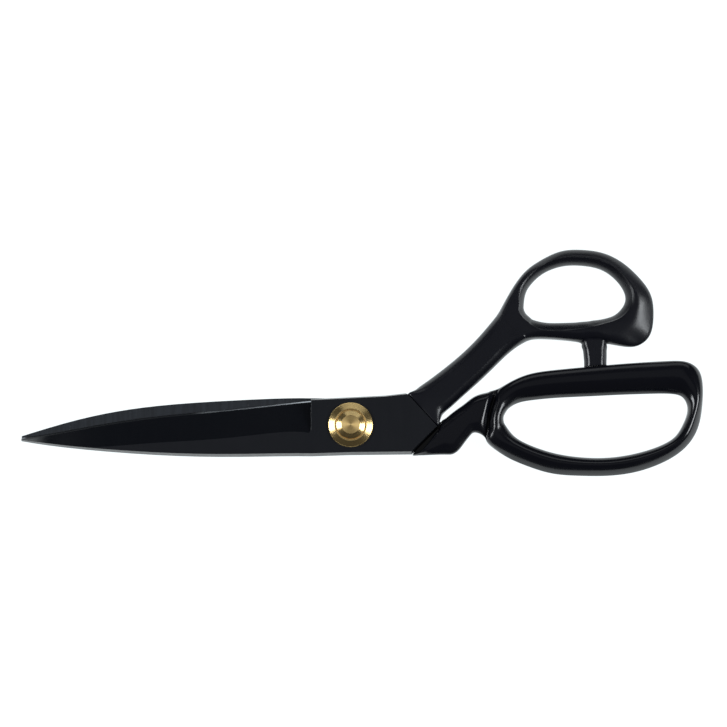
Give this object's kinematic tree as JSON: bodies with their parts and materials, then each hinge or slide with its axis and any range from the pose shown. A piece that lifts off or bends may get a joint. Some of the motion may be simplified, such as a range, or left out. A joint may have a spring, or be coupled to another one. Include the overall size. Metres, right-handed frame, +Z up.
{
  "type": "fabric shears",
  "caption": "Closed tailor's shears with black coated blades, cast black handles with a thumb bow, a larger finger bow and a stop post, and a brass pivot nut.",
  "frame": {"origin": "on the pivot axis, in the flat outer face of the finger blade's heel, which lies on the table", "axes": "+X from the tips to the bows, +Y towards the thumb bow, +Z up along the pivot axis, shears closed"},
  "size_m": [0.2793, 0.0934, 0.0128],
  "materials": {
    "blade_black": "satin black coating over ground steel",
    "satin_enamel": "satin baked black enamel",
    "gloss_enamel": "gloss baked black enamel",
    "screw_steel": "turned steel",
    "brass": "turned brass"
  },
  "bodies": {
    "finger_half": {"finger_blade": "blade_black", "finger_handle": "gloss_enamel"},
    "thumb_half": {"thumb_blade": "blade_black", "thumb_handle": "satin_enamel", "pivot_screw": "screw_steel", "tension_washer": "screw_steel", "nut_washer": "brass", "pivot_nut": "brass"}
  },
  "joints": [
    {"name": "pivot", "type": "hinge", "parent": "finger_half", "child": "thumb_half", "pos_m": [0, 0, 0], "axis": [0, 0, 1], "range_deg": [0, 110]}
  ]
}
